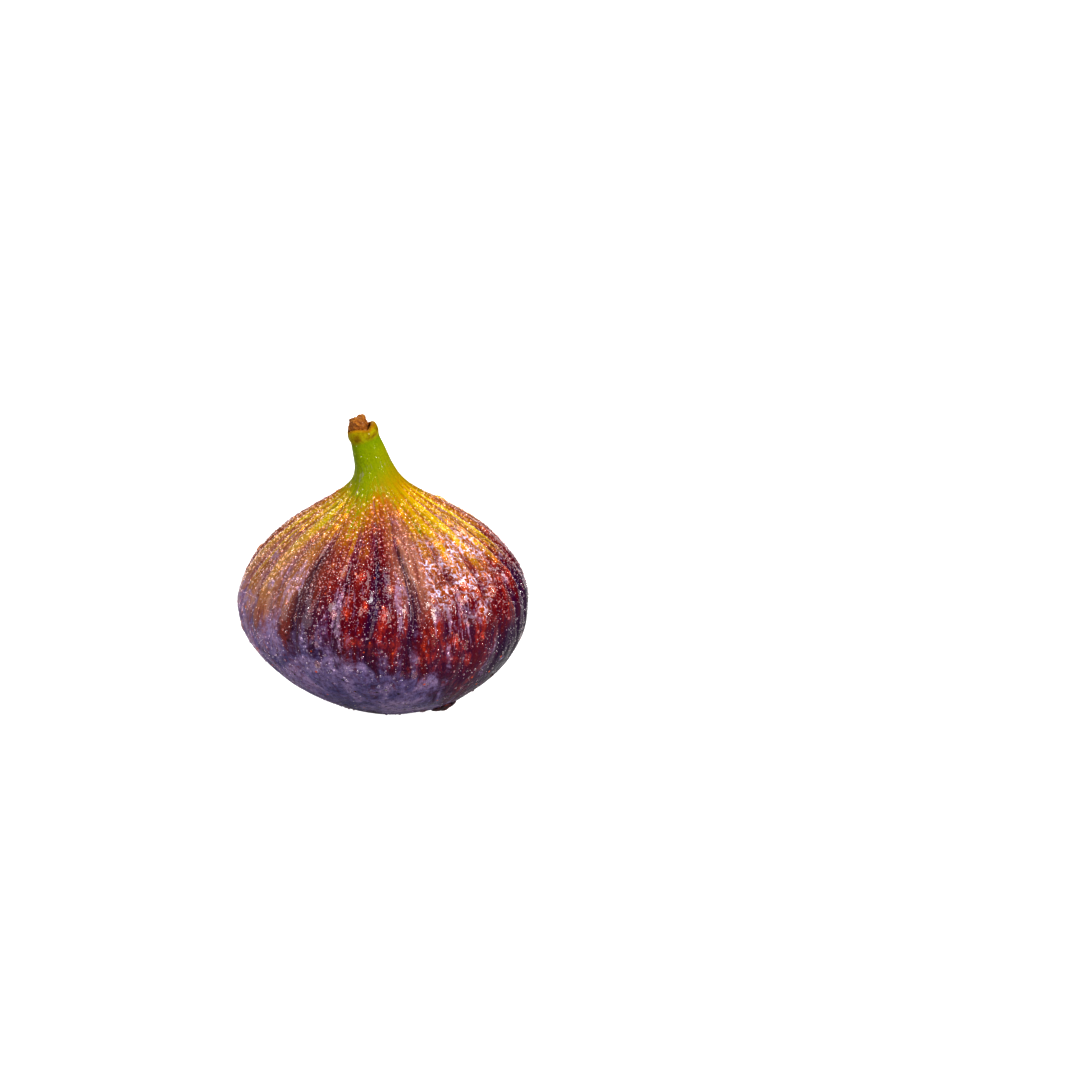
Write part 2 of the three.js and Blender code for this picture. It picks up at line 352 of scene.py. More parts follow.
def toneOf(tones, place):  # each rib's value, eased from the middle of one rib to the middle of the next
    tones = np.array(tones)
    cell = np.floor(place - 0.5).astype(int)
    share = smoothstep(place - 0.5 - cell, 0.25, 0.75)
    count = ribs["count"]
    return tones[cell % count] * (1 - share) + tones[(cell + 1) % count] * share


def patchOf(name, angle, height):  # 1 in the middle of each patch, fading out to 0
    total = 0 * angle
    for middle, level, halfWidth, halfHeight in patches[name]:
        apart = (np.degrees(angle) - middle + 180) % 360 - 180
        total = total + np.exp(-((apart / halfWidth) ** 2) - ((height - level) / halfHeight) ** 2)
    return np.minimum(total, 1)


def skinMesh():  # one closed skin, with a fixed number of columns on each rib
    points = profilePoints()
    places = [0.0]
    for stretch in range(len(points) - 1):
        length = np.linalg.norm(points[stretch + 1] - points[stretch])
        onCollar = points[stretch + 1][1] > collar["base"] - 0.5
        parts = max(1, math.ceil(length / fruit["collarStep" if onCollar else "skinStep"]))
        places += [stretch + (part + 1) / parts for part in range(parts)]
    places = np.array(places)
    profile = alongSpline(points, places)
    column = np.arange(ribs["count"] * ribs["steps"])[None, :]
    rib, share = column // ribs["steps"], (column % ribs["steps"]) / ribs["steps"]
    radius, height = profile[:, :1], profile[:, 1:]
    start, end = grooveAngle(rib, height), grooveAngle(rib + 1, height)
    angle = start + (end - start) * share
    inSocket = (places > len(points) - 3.5)[:, None]  # past the collar's inner edge
    rising = smoothstep(height, np.where(inSocket, collar["socketFloor"], collar["base"]), collar["top"])
    rise = rising * collarRise(angle)
    lean, tilt = axisAt(height + rise)
    outward = radius * lobes(angle, height)
    along = outward * np.cos(angle) + np.where(inSocket, collar["socketShift"], 0)
    position = np.stack([lean + along * np.cos(tilt), outward * np.sin(angle),
                         height + rise + along * np.sin(tilt)], axis=2)
    eyeSpot, _ = eyePlace()
    fromEye = np.hypot(position[:, :, 0] - eyeSpot.x, position[:, :, 1] - eyeSpot.y)
    swell = eye["swell"] * np.exp(-((fromEye / eye["spread"]) ** 2))
    position[:, :, 2] -= np.where(position[:, :, 2] < equatorHeight, swell, 0)
    position[:, :, 2] = np.maximum(position[:, :, 2], 0)
    mesh = gridMesh("skin", position * mm)
    paintSkin(mesh, angle, height * np.ones_like(angle), radius, rib, share, end - start, inSocket, tilt)
    return mesh


def paintSkin(mesh, angle, height, radius, rib, share, width, inSocket, tilt):
    # What the ribs, the colours and the drops read from the mesh.
    onBody = np.minimum(1, radius / ribs["full"]) * (radius > ribs["none"])
    strength = ribStrength(height) * onBody * (1 - ribs["neckLoss"] * past("neckSmooths", height))
    nearest = np.where(share < 0.5, rib, rib + 1) % ribs["count"]
    fromGroove = np.minimum(share, 1 - share) + 0 * height
    place = rib + share + 0 * height
    upper = past("shoulderTones", height)
    tone = toneOf(ripeness["shoulder"], place) * upper + toneOf(ripeness["waist"], place) * (1 - upper)
    heights, values = zip(*ripeness["byHeight"])
    ripe = np.interp(height, heights, values)
    ripe = ripe + (tone - 0.5) * ripeness["toneShift"] * (1 - past("tonesFade", height))
    for name, shift in ripeness["patchShifts"].items():
        ripe = ripe + shift * patchOf(name, angle, height)
    yellowSide = past("neckYellows", height) * (0.5 + 0.5 * np.cos(angle - ripeness["yellowFacing"])) ** 2
    ripe = ripe + ripeness["yellowSide"] * yellowSide * (1 - past("skinEnds", height))
    darkness = np.array(ripeness["grooves"])[nearest] * np.exp(-((fromGroove / ripeness["grooveWidth"]) ** 2))
    darkBand = (1 - past("groovesClear", height)) * past("groovesDarken", height)
    ripe = ripe + ripeness["grooveShift"] * darkness * darkBand
    goldFoot = ripeness["goldFoot"] + ripeness["goldTilt"] * np.cos(angle)
    goldSpan = smoothstep(height, goldFoot, goldFoot + ripeness["goldEase"])
    gold = toneOf(ripeness["gold"], place) * goldSpan * (1 - past("neckSmooths", height))
    crestLeast, crestMore = ribs["crestSpread"]
    grooveLeast, grooveMore = ribs["grooveSpread"]
    floats = {
        "crestSize": strength * width * ribs["count"] / fullTurn * (crestLeast + crestMore * chance(rib, 3)),
        "grooveSize": strength * (grooveLeast + grooveMore * chance(nearest, 4)),
        "fromGroove": fromGroove, "climb": height, "ripe": ripe,
        "groove": darkness * ribStrength(height) * (1 - past("strokesFade", height)),
        "socket": inSocket + 0 * height,
        "gold": np.minimum(gold * (0.2 + 0.8 * smoothstep(fromGroove, 0.1, 0.3)), 1),  # less near the grooves
    }
    for name in ("net", "veil", "ember", "tan", "deep", "bloom"):
        floats[name] = patchOf(name, angle, height)
    dew = wetness["least"] + wetness["waist"] * past("dewComes", height)
    dew = dew + wetness["shoulder"] * past("dewThickens", height)
    drips = wetness["drips"] * past("dripsCome", height) * (1 - past("dripsFade", height))
    floats["spray"] = dew * (1 - wetness["dryNeck"] * past("neckYellows", height))
    floats["drip"] = wetness["least"] + drips + floats["net"] + wetness["embers"] * floats["ember"]
    for name in ("spray", "drip"):
        floats[name] = np.minimum(floats[name], 1) * (height > wetness["dryFoot"])
    for name, grid in floats.items():
        addAttribute(mesh, name, grid)
    radial = np.stack([np.cos(angle) * np.cos(tilt), np.sin(angle), np.cos(angle) * np.sin(tilt)], axis=2)
    ring = ribs["streakRing"]
    around = np.stack([np.cos(angle) * ring, np.sin(angle) * ring, height * ribs["streakDraw"]], axis=2)
    addAttribute(mesh, "outward", radial, "FLOAT_VECTOR")
    addAttribute(mesh, "around", around, "FLOAT_VECTOR")


def ribTree(material):  # raises the ribs, sinks the grooves between them and dents the skin
    tree, given = newTree("ribs", {
        "Rib height": ("NodeSocketFloat", 0.0005), "Groove depth": ("NodeSocketFloat", 0.0005),
        "Groove share": ("NodeSocketFloat", 0.13), "Dent depth": ("NodeSocketFloat", 0.0003),
        "Lump depth": ("NodeSocketFloat", 0.0005)})
    crest, depth, share, climb = [
        add(tree, "GeometryNodeInputNamedAttribute", {"Name": name})
        for name in ("crestSize", "grooveSize", "fromGroove", "climb")]
    outward, around = [
        add(tree, "GeometryNodeInputNamedAttribute", {"Name": name}, data_type="FLOAT_VECTOR")
        for name in ("outward", "around")]
    angle = add(tree, "ShaderNodeMath", {0: share, 1: math.pi}, operation="MULTIPLY")
    wave = add(tree, "ShaderNodeMath", {0: angle}, operation="SINE")
    rounded = add(tree, "ShaderNodeMath", {0: wave, 1: 0.8}, operation="POWER")
    ridge = add(tree, "ShaderNodeMath", {0: rounded, 1: crest}, operation="MULTIPLY")
    raised = add(tree, "ShaderNodeMath", {0: ridge, 1: given["Rib height"]}, operation="MULTIPLY")
    near = add(tree, "ShaderNodeMath", {0: share, 1: given["Groove share"]}, operation="DIVIDE")
    squared = add(tree, "ShaderNodeMath", {0: near, 1: 2.0}, operation="POWER")
    minus = add(tree, "ShaderNodeMath", {0: squared, 1: -1.0}, operation="MULTIPLY")
    dip = add(tree, "ShaderNodeMath", {0: minus}, operation="EXPONENT")
    cut = add(tree, "ShaderNodeMath", {0: dip, 1: depth}, operation="MULTIPLY")
    sunk = add(tree, "ShaderNodeMath", {0: cut, 1: given["Groove depth"]}, operation="MULTIPLY")
    relief = add(tree, "ShaderNodeMath", {0: raised, 1: sunk}, operation="SUBTRACT")
    position = add(tree, "GeometryNodeInputPosition")
    dents = add(tree, "ShaderNodeTexNoise", {
        "Vector": position, "Scale": perMetre(ribs["dentWidth"]), "Detail": 3.0, "Roughness": 0.55})
    fibres = add(tree, "ShaderNodeTexNoise", {
        "Vector": around, "Scale": 1 / ribs["fibreWidth"], "Detail": 2.0})
    lumps = add(tree, "ShaderNodeTexNoise", {
        "Vector": position, "Scale": perMetre(ribs["lumpWidth"]), "Detail": 1.0})
    uneven = add(tree, "ShaderNodeMath", {0: dents, 1: fibres}, operation="ADD")
    dented = add(tree, "ShaderNodeMath", {0: uneven, 1: -1.0}, operation="ADD")
    dentSize = add(tree, "ShaderNodeMath", {0: dented, 1: given["Dent depth"]}, operation="MULTIPLY")
    lumped = add(tree, "ShaderNodeMath", {0: lumps, 1: -0.5}, operation="ADD")
    lumpSize = add(tree, "ShaderNodeMath", {0: lumped, 1: given["Lump depth"]}, operation="MULTIPLY")
    rough = add(tree, "ShaderNodeMath", {0: dentSize, 1: lumpSize}, operation="ADD")
    above = add(tree, "ShaderNodeMapRange", {"Value": climb, "From Min": 2.0, "From Max": 9.0},
                interpolation_type="SMOOTHSTEP")
    below = add(tree, "ShaderNodeMapRange", {"Value": climb, "From Min": 48.0, "From Max": 40.0,
                                             "To Min": 0.08, "To Max": 1.0}, interpolation_type="SMOOTHSTEP")
    where = add(tree, "ShaderNodeMath", {0: above, 1: below}, operation="MULTIPLY")
    skin = add(tree, "ShaderNodeMath", {0: rough, 1: where}, operation="MULTIPLY")
    total = add(tree, "ShaderNodeMath", {0: relief, 1: skin}, operation="ADD")
    offset = add(tree, "ShaderNodeVectorMath", {0: outward, "Scale": total}, operation="SCALE")
    moved = add(tree, "GeometryNodeSetPosition", {"Geometry": given["Geometry"], "Offset": offset})
    closeTree(tree, moved, material)
    return tree


# The skin's material

skinLook = {
    "ripening": [  # from the lime neck through amber and rose to wine and slate purple
        (0.0, "#768802"), (0.1, "#868E02"), (0.19, "#A08602"), (0.27, "#AE7006"), (0.38, "#94501E"),
        (0.48, "#84382A"), (0.56, "#701E22"), (0.64, "#6C0E18"), (0.72, "#600818"), (0.8, "#520628"),
        (0.9, "#440A34"), (1.0, "#340C3C"),
    ],
    "noises": {  # along the ribs or not, size, detail, roughness, and how far it shifts a spot's ripeness
        "streakWide": (True, 2.4, 3.0, 0.6, 0.16), "streakFine": (True, 0.6, 4.0, 0.65, 0.05),
        "blotch": (False, 5.0, 5.0, 0.6, 0.1), "grain": (False, 0.9, 3.0, 0.7, 0.09),
    },
    "gold": "#DAB800", "tan": "#AA7A64", "emberDark": "#640818", "emberBright": "#D2480A",
    # deep: painted shadow, nearly black
    # mist: milky white of the fine mist, with painted glints
    # netThread: painted highlight on the threads of the water net
    # veil: painted highlight of the torn water film
    "veil": "#B496B4", "mist": "#E0C4C6", "netThread": "#D2CAE8", "netCell": "#B4641E", "deep": "#18061C",
    # rim: the broken rim's light brown, also painted into the shaded socket as light
    "pits": "#200818", "rim": "#B07414",
    "waxAndSheenTones": [(0.38, "#504C78"), (0.5, "#7E7099"), (0.62, "#A48EB2")],  # of the bloom: wax, lightened by a painted reflection of the pale floor
    "corks": [(0.0, "#D8D86A"), (0.4, "#D9A06A"), (0.7, "#C05A3A"), (1.0, "#D0581C")],
    "collar": [(0.35, "#7E6608"), (0.5, "#948608"), (0.65, "#9E980E")],
    "shades": [  # of the grooves and strokes, as the skin round them ripens
        (0.25, "#8A5A1E"), (0.4, "#7C4048"), (0.52, "#5E2044"), (0.66, "#440620"), (0.8, "#320636"),
    ],
    "spots": [  # pits in the bloom, then corky dots: how far apart, edge and heart, and the share left out
        (1.5, 0.24, 0.14, 0.62), (2.2, 0.15, 0.08, 0.72),
    ],
    "paintedShadowShare": 0.8, "shadeShare": 0.75, "bloomAndSheenShare": 0.8,
    "veilHighlightShare": 0.6, "cellShare": 0.5, "glintShare": 0.55,
}


def skinReadings(tree, coords):
    # What the mesh carries, and the streaks and blotches that decide how ripe a spot is.
    read = {name: add(tree, "ShaderNodeAttribute", attribute_name=name).outputs["Fac"] for name in (
        "ripe", "climb", "groove", "gold", "tan", "ember", "deep", "bloom", "veil", "net", "spray", "socket")}
    read["around"] = add(tree, "ShaderNodeAttribute", attribute_name="around").outputs["Vector"]
    change = 0.0
    for name, (alongRibs, size, detail, roughness, reach) in skinLook["noises"].items():
        vector, scale = (read["around"], 1 / size) if alongRibs else (coords, perMetre(size))
        read[name] = add(tree, "ShaderNodeTexNoise", {
            "Vector": vector, "Scale": scale, "Detail": detail, "Roughness": roughness})
        part = add(tree, "ShaderNodeMapRange", {
            "Value": read[name], "From Min": 0.3, "From Max": 0.7, "To Min": -reach, "To Max": reach})
        change = add(tree, "ShaderNodeMath", {0: change, 1: part}, operation="ADD")
    read["onBody"] = add(tree, "ShaderNodeMapRange", {
        "Value": read["climb"], "From Min": 49.0, "From Max": 38.0, "To Min": 0.12, "To Max": 1.0},
        interpolation_type="SMOOTHSTEP")
    read["turn"] = add(tree, "ShaderNodeMath", {0: change, 1: read["onBody"], 2: read["ripe"]},
                       operation="MULTIPLY_ADD")
    return read


# Each of the next functions gives layers of colour: how much of it shows at each spot, and the colour.

def peelLayers(tree, coords, read):
    # Ribs that stayed gold, tan where a leaf lay, red that glows through, and nearly black patches of painted
    # shadow.
    worn = add(tree, "ShaderNodeMapRange", {
        "Value": read["streakWide"], "From Min": 0.64, "From Max": 0.5, "To Min": 0.25, "To Max": 1.0})
    gold = add(tree, "ShaderNodeMath", {0: read["gold"], 1: worn}, operation="MULTIPLY")
    notGold = add(tree, "ShaderNodeMath", {0: gold, 1: -0.9, 2: read["tan"]}, operation="MULTIPLY_ADD",
                  use_clamp=True)
    tan = add(tree, "ShaderNodeMath", {0: notGold, 1: worn}, operation="MULTIPLY")
    drawnOut = add(tree, "ShaderNodeVectorMath", {0: coords, 1: (1.0, 1.0, 0.45)}, operation="MULTIPLY")
    hearts = add(tree, "ShaderNodeTexNoise", {
        "Vector": drawnOut, "Scale": perMetre(2.2), "Detail": 5.0, "Roughness": 0.65})
    dull = add(tree, "ShaderNodeMapRange", {
        "Value": hearts, "From Min": 0.56, "From Max": 0.42, "To Max": 0.8})
    bright = add(tree, "ShaderNodeMapRange", {"Value": hearts, "From Min": 0.49, "From Max": 0.76})
    dullRed = add(tree, "ShaderNodeMath", {0: read["ember"], 1: dull}, operation="MULTIPLY")
    brightRed = add(tree, "ShaderNodeMath", {0: read["ember"], 1: bright}, operation="MULTIPLY")
    # Painted shadow: the nearly black patches low on the right side.
    deep = add(tree, "ShaderNodeMath", {0: read["deep"], 1: skinLook["paintedShadowShare"]}, operation="MULTIPLY")

    # Dark strokes in the grooves and along the ribs.
    torn = add(tree, "ShaderNodeMapRange", {
        "Value": read["streakFine"], "From Min": 0.38, "From Max": 0.58, "To Min": 0.35, "To Max": 1.0})
    inGroove = add(tree, "ShaderNodeMath", {0: read["groove"], 1: torn}, operation="MULTIPLY")
    stroke = add(tree, "ShaderNodeMapRange", {
        "Value": read["streakFine"], "From Min": 0.57, "From Max": 0.68})
    ripeEnough = add(tree, "ShaderNodeMapRange", {
        "Value": read["turn"], "From Min": 0.25, "From Max": 0.45, "To Max": 0.35})
    strokes = add(tree, "ShaderNodeMath", {0: stroke, 1: ripeEnough}, operation="MULTIPLY")
    shade = add(tree, "ShaderNodeMath", {0: inGroove, 1: strokes}, operation="MAXIMUM")
    shadePart = add(tree, "ShaderNodeMath", {0: shade, 1: skinLook["shadeShare"]}, operation="MULTIPLY",
                    use_clamp=True)
    shadeColour = add(tree, "ShaderNodeValToRGB", {"Fac": read["turn"]}, stops=skinLook["shades"])
    return [(gold, "gold"), (tan, "tan"), (dullRed, "emberDark"), (brightRed, "emberBright"), (deep, "deep"),
            (shadePart, shadeColour)]


def bloomAndSheenLayers(tree, coords, read):
    # Bloom: a lavender wax film with torn edges; its lavender is partly painted reflection and light from the
    # pale floor.
    film = add(tree, "ShaderNodeTexNoise", {
        "Vector": coords, "Scale": perMetre(6.0), "Detail": 8.0, "Roughness": 0.68, "Distortion": 0.6})
    filmPart = add(tree, "ShaderNodeMath", {0: film, 1: 1.8}, operation="MULTIPLY")
    bothFilms = add(tree, "ShaderNodeMath", {0: read["streakWide"], 1: 1.2, 2: filmPart},
                    operation="MULTIPLY_ADD")
    edge = add(tree, "ShaderNodeMath", {0: read["bloom"], 1: 0.8, 2: bothFilms}, operation="MULTIPLY_ADD")
    whole = add(tree, "ShaderNodeMapRange", {"Value": edge, "From Min": 1.72, "From Max": 2.02})
    dusty = add(tree, "ShaderNodeMapRange", {
        "Value": read["grain"], "From Min": 0.36, "From Max": 0.56, "To Min": 0.4, "To Max": 1.0})
    grainedWaxAndSheen = add(tree, "ShaderNodeMath", {0: whole, 1: dusty}, operation="MULTIPLY")
    waxAndSheen = add(tree, "ShaderNodeMath", {0: grainedWaxAndSheen, 1: skinLook["bloomAndSheenShare"]}, operation="MULTIPLY")
    waxAndSheenColour = add(tree, "ShaderNodeValToRGB", {"Fac": film}, stops=skinLook["waxAndSheenTones"])

    # Dark pits in it, and lenticels: small corky dots, pale near the neck and orange low down.
    spots = []
    for size, rim, heart, leftOut in skinLook["spots"]:
        cells = add(tree, "ShaderNodeTexVoronoi", {"Vector": coords, "Scale": perMetre(size)})
        spot = add(tree, "ShaderNodeMapRange", {
            "Value": cells.outputs["Distance"], "From Min": rim, "From Max": heart})
        few = add(tree, "ShaderNodeMath", {0: cells.outputs["Color"], 1: leftOut}, operation="GREATER_THAN")
        spots.append(add(tree, "ShaderNodeMath", {0: spot, 1: few}, operation="MULTIPLY"))
    pits = add(tree, "ShaderNodeMath", {0: spots[0], 1: read["bloom"]}, operation="MULTIPLY")
    corkColour = add(tree, "ShaderNodeValToRGB", {"Fac": read["turn"]}, stops=skinLook["corks"])
    return [(waxAndSheen, waxAndSheenColour), (pits, "pits"), (spots[1], corkColour)]


def waterLayers(tree, coords, read):
    # Water on the skin: first a torn film, drawn as a painted highlight.
    rag = add(tree, "ShaderNodeTexNoise", {
        "Vector": read["around"], "Scale": 1 / 1.3, "Detail": 7.0, "Roughness": 0.62, "Distortion": 1.1})
    highlightEdge = add(tree, "ShaderNodeMath", {0: read["veil"], 1: 0.2, 2: rag}, operation="MULTIPLY_ADD")
    highlightFilm = add(tree, "ShaderNodeMapRange", {"Value": highlightEdge, "From Min": 0.67, "From Max": 0.72})
    highlightGrain = add(tree, "ShaderNodeMapRange", {
        "Value": read["grain"], "From Min": 0.35, "From Max": 0.6, "To Max": skinLook["veilHighlightShare"]})
    veil = add(tree, "ShaderNodeMath", {0: highlightFilm, 1: highlightGrain}, operation="MULTIPLY")

    # A net, where the film is breaking into beads: its threads raise the water's bump, and their pale colour
    # is a painted highlight.
    warp = add(tree, "ShaderNodeTexNoise", {"Vector": coords, "Scale": perMetre(0.8), "Detail": 2.0})
    warpBy = add(tree, "ShaderNodeVectorMath", {0: warp.outputs["Color"], "Scale": 0.9 * mm},
                 operation="SCALE")
    warped = add(tree, "ShaderNodeVectorMath", {0: coords, 1: warpBy}, operation="ADD")
    cells = add(tree, "ShaderNodeTexVoronoi", {"Vector": warped, "Scale": perMetre(1.2)},
                feature="DISTANCE_TO_EDGE")
    netHere = add(tree, "ShaderNodeMapRange", {"Value": read["net"], "From Min": 0.25, "From Max": 0.8})
    netEdge = add(tree, "ShaderNodeMapRange", {"Value": read["blotch"], "From Min": 0.42, "From Max": 0.56})
    netArea = add(tree, "ShaderNodeMath", {0: netHere, 1: netEdge}, operation="MULTIPLY")
    cellPart = add(tree, "ShaderNodeMath", {0: netArea, 1: skinLook["cellShare"]}, operation="MULTIPLY")
    thread = add(tree, "ShaderNodeMapRange", {
        "Value": cells.outputs["Distance"], "From Min": 0.16, "From Max": 0.03})
    ragged = add(tree, "ShaderNodeMapRange", {"Value": warp, "From Min": 0.4, "From Max": 0.55})
    threads = add(tree, "ShaderNodeMath", {0: thread, 1: ragged}, operation="MULTIPLY")
    netThreadsAndHighlight = add(tree, "ShaderNodeMath", {0: threads, 1: netArea}, operation="MULTIPLY")

    # Mist too fine for drops of its own, as domes of uneven size: they bump the water's skin, and their pale
    # colour is the mist's milky white with painted glints.
    mist = add(tree, "ShaderNodeTexVoronoi", {"Vector": coords, "Scale": perMetre(0.45)})
    domeSize = add(tree, "ShaderNodeMapRange", {
        "Value": mist.outputs["Color"], "To Min": 0.08, "To Max": 0.42})
    fromTop = add(tree, "ShaderNodeMath", {0: mist.outputs["Distance"], 1: domeSize}, operation="DIVIDE")
    dome = add(tree, "ShaderNodeMapRange", {"Value": fromTop, "From Min": 1.0, "From Max": 0.0},
               interpolation_type="SMOOTHSTEP")
    mistDomes = add(tree, "ShaderNodeMath", {0: dome, 1: read["spray"]}, operation="MULTIPLY")
    paintedGlints = add(tree, "ShaderNodeMath", {0: mistDomes, 1: skinLook["glintShare"]}, operation="MULTIPLY")
    layers = [(veil, "veil"), (cellPart, "netCell"), (netThreadsAndHighlight, "netThread"), (paintedGlints, "mist")]
    return layers, netThreadsAndHighlight, mistDomes


def collarLayers(tree, coords, read):
    # The collar is browner than the neck, and its broken rim is light brown; the same light brown in the
    # socket is painted light where the socket lies in shade.
    isCollar = add(tree, "ShaderNodeMapRange", {"Value": read["climb"], "From Min": 54.6, "From Max": 55.4})
    isRim = add(tree, "ShaderNodeMapRange", {
        "Value": read["climb"], "From Min": 56.7, "From Max": 57.1, "To Max": 0.6})
    broken = add(tree, "ShaderNodeMath", {0: read["socket"], 1: isRim}, operation="MAXIMUM")
    brokenRimAndLitSocket = add(tree, "ShaderNodeMath", {0: broken, 1: isCollar}, operation="MULTIPLY")
    knobs = add(tree, "ShaderNodeTexNoise", {"Vector": coords, "Scale": perMetre(1.4), "Detail": 4.0})
    collarColour = add(tree, "ShaderNodeValToRGB", {"Fac": knobs}, stops=skinLook["collar"])
    return [(isCollar, collarColour), (brokenRimAndLitSocket, "rim")]


def figSkin():
    # Fig skin: a thin live peel, waxy on the lower half where bloom is left and rinsed glossy above.
    # The eye sees it ripen in streaks from lime to slate purple, under a broken film of water whose pale
    # highlights are painted into its colour.
    material, tree, coords = newMaterial("figSkinRinsed")
    read = skinReadings(tree, coords)
    bloom = bloomAndSheenLayers(tree, coords, read)
    water, net, mistDomes = waterLayers(tree, coords, read)
    colour = add(tree, "ShaderNodeValToRGB", {"Fac": read["turn"]}, stops=skinLook["ripening"])
    for share, paint in peelLayers(tree, coords, read) + bloom + water + collarLayers(tree, coords, read):
        paint = hexToLinear(skinLook[paint]) if isinstance(paint, str) else paint
        mixed = add(tree, "ShaderNodeMix", {"Factor": share, 6: colour, 7: paint}, data_type="RGBA")
        colour = mixed.outputs[2]
    waxAndSheen, pits = bloom[0][0], bloom[1][0]

    # Relief finer than the mesh: fibres, peel and pits below, and the water's own skin above.
    fibre = add(tree, "ShaderNodeTexNoise", {
        "Vector": read["around"], "Scale": 1 / 0.2, "Detail": 3.0, "Roughness": 0.6})
    fibreStrength = add(tree, "ShaderNodeMath", {0: read["onBody"], 1: 0.3}, operation="MULTIPLY")
    bumpFibre = add(tree, "ShaderNodeBump", {
        "Height": fibre, "Strength": fibreStrength, "Distance": 0.5 * mm})
    peel = add(tree, "ShaderNodeMath", {0: pits, 1: -0.6, 2: read["grain"]}, operation="MULTIPLY_ADD")
    bumpPeel = add(tree, "ShaderNodeBump", {
        "Height": peel, "Strength": 0.5, "Distance": 0.5 * mm, "Normal": bumpFibre})
    ripple = add(tree, "ShaderNodeTexNoise", {"Vector": coords, "Scale": perMetre(1.5), "Detail": 1.0})
    wetRipple = add(tree, "ShaderNodeBump", {"Height": ripple, "Strength": 0.38, "Distance": 0.4 * mm})
    wetNet = add(tree, "ShaderNodeBump", {
        "Height": net, "Strength": 0.6, "Distance": 0.2 * mm, "Normal": wetRipple})
    wetMist = add(tree, "ShaderNodeBump", {
        "Height": mistDomes, "Strength": 0.8, "Distance": 0.12 * mm, "Normal": wetNet})

    # Gloss: wet all over but on the neck, and duller where the bloom lies.
    roughSkin = add(tree, "ShaderNodeMapRange", {
        "Value": read["blotch"], "From Min": 0.35, "From Max": 0.65, "To Min": 0.38, "To Max": 0.6})
    wetSkin = add(tree, "ShaderNodeMapRange", {"Value": waxAndSheen, "From Max": 0.7, "To Min": 0.6, "To Max": 0.4})
    wetHere = add(tree, "ShaderNodeMapRange", {
        "Value": read["climb"], "From Min": 47.0, "From Max": 40.0, "To Min": 0.25, "To Max": 1.0})
    wet = add(tree, "ShaderNodeMath", {0: wetSkin, 1: wetHere}, operation="MULTIPLY")
    shader = add(tree, "ShaderNodeBsdfPrincipled", {
        "Base Color": colour, "Roughness": roughSkin, "Normal": bumpPeel, "IOR": 1.42,
        "Specular IOR Level": 0.03, "Coat Weight": wet, "Coat Roughness": 0.05, "Coat IOR": 1.36,
        "Coat Normal": wetMist})
    add(tree, "ShaderNodeOutputMaterial", {"Surface": shader})
    return material


skin = figSkin()
fruitPiece = newObject("fig_fruit", skinMesh())
ribbed = runTree(fruitPiece, ribTree(skin), {
    "Rib height": ribs["height"] * mm, "Groove depth": ribs["grooveDepth"] * mm,
    "Groove share": ribs["grooveShare"], "Dent depth": ribs["dent"] * mm, "Lump depth": ribs["lump"] * mm})
finishPiece(fruitPiece, ribbed, "fruit")


# The eye: dry little scales pressed over the pore at the bottom

def eyeBract():
    # Eye scales: dry bracts. Dark wine with browner, drier tips.
    material, tree, coords = newMaterial("eyeScaleDry")
    mottle = add(tree, "ShaderNodeTexNoise", {"Vector": coords, "Scale": perMetre(1.1), "Detail": 4.0})
    colour = add(tree, "ShaderNodeValToRGB", {"Fac": mottle}, stops=eye["colours"])
    bump = add(tree, "ShaderNodeBump", {"Height": mottle, "Strength": 0.5, "Distance": 0.3 * mm})
    shader = add(tree, "ShaderNodeBsdfPrincipled", {"Base Color": colour, "Roughness": 0.5, "Normal": bump})
    add(tree, "ShaderNodeOutputMaterial", {"Surface": shader})
    return material


def scaleTree(material):  # one ring of the eye's scales
    tree, given = newTree("eyeScales", {
        "Count": ("NodeSocketInt", 6), "Ring radius": ("NodeSocketFloat", 0.0016),
        "Length": ("NodeSocketFloat", 0.002), "Width": ("NodeSocketFloat", 0.002),
        "Thickness": ("NodeSocketFloat", 0.0006), "Lift": ("NodeSocketFloat", 0.0),
        "Tilt": ("NodeSocketFloat", 0.3), "Turned": ("NodeSocketFloat", 0.0)})
    ring = add(tree, "GeometryNodeMeshCircle", {"Vertices": given["Count"], "Radius": given["Ring radius"]})
    ball = add(tree, "GeometryNodeMeshIcoSphere", {"Radius": 0.5, "Subdivisions": 4})
    smooth = add(tree, "GeometryNodeSetShadeSmooth", {"Geometry": ball})
    index = add(tree, "GeometryNodeInputIndex")
    step = add(tree, "ShaderNodeMath", {0: fullTurn, 1: given["Count"]}, operation="DIVIDE")
    angle = add(tree, "ShaderNodeMath", {0: index, 1: step}, operation="MULTIPLY")
    facing = add(tree, "ShaderNodeCombineXYZ", {"Y": given["Tilt"], "Z": angle})
    size = add(tree, "ShaderNodeCombineXYZ", {
        "X": given["Length"], "Y": given["Width"], "Z": given["Thickness"]})
    scales = add(tree, "GeometryNodeInstanceOnPoints", {
        "Points": ring, "Instance": smooth, "Rotation": facing, "Scale": size})
    lift = add(tree, "ShaderNodeCombineXYZ", {"Z": given["Lift"]})
    spin = add(tree, "ShaderNodeCombineXYZ", {"Z": given["Turned"]})
    placed = add(tree, "GeometryNodeTransform", {
        "Geometry": scales, "Translation": lift, "Rotation": spin})
    closeTree(tree, placed, material)
    return tree


